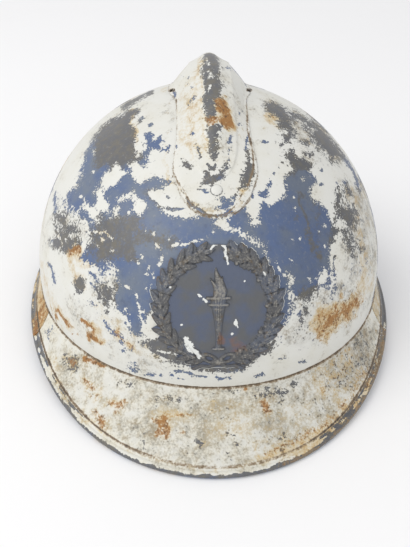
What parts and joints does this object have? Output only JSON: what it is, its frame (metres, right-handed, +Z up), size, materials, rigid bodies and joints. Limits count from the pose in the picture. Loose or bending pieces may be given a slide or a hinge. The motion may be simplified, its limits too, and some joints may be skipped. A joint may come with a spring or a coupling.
{
  "type": "steel combat helmet",
  "caption": "Domed steel combat helmet with a riveted vent comb, front badge, separate visor and neck guard, a laced leather liner and a swinging chinstrap.",
  "frame": {"origin": "middle of the whole helmet's footprint, on the plane that the brim's bead stands on", "axes": "+Z up, the visor points to -Y and the neck guard to +Y, +X on the viewer's right seen from the front"},
  "size_m": [0.2224, 0.2842, 0.1489],
  "materials": {
    "painted_steel": "old white overpaint over blue-grey service paint, chipped to dark undercoat and rust",
    "badge_paint": "worn blue-grey paint with remnants of white in the relief",
    "rivet_steel": "white overpaint with a dark worn rim",
    "bare_steel": "aged steel with light rust",
    "spacer_metal": "dull aluminium",
    "wool_felt": "dark wool cloth",
    "liner_leather": "aged brown leather",
    "strap_leather": "aged brown leather",
    "lace_cord": "twisted cotton cord"
  },
  "bodies": {
    "root": {"shell": "painted_steel", "front_visor": "painted_steel", "neck_guard": "painted_steel", "crest_comb": "painted_steel", "crest_rivets": "rivet_steel", "crest_rivet_washers": "bare_steel", "front_badge": "badge_paint", "badge_prongs": "bare_steel", "felt_band": "wool_felt", "leather_liner": "liner_leather", "liner_lace": "lace_cord", "liner_staples": "bare_steel", "liner_spacer_front": "spacer_metal", "liner_spacer_right": "spacer_metal", "liner_spacer_rear": "spacer_metal", "liner_spacer_left": "spacer_metal", "strap_hanger_left": "bare_steel", "strap_hanger_right": "bare_steel"},
    "chinstrap": {"chinstrap": "strap_leather", "strap_end_rivets": "bare_steel", "strap_ring_left": "bare_steel", "strap_ring_right": "bare_steel"},
    "slider": {"strap_slider": "bare_steel"}
  },
  "joints": [
    {"name": "chinstrap_swing", "type": "hinge", "parent": "root", "child": "chinstrap", "pos_m": [0, 0.01915, 0.012], "axis": [-1, 0, 0], "range_deg": [0, 170]},
    {"name": "slider_slide", "type": "slide", "parent": "chinstrap", "child": "slider", "axis": [1, 0, 0], "range_m": [-0.015, 0.015]}
  ]
}
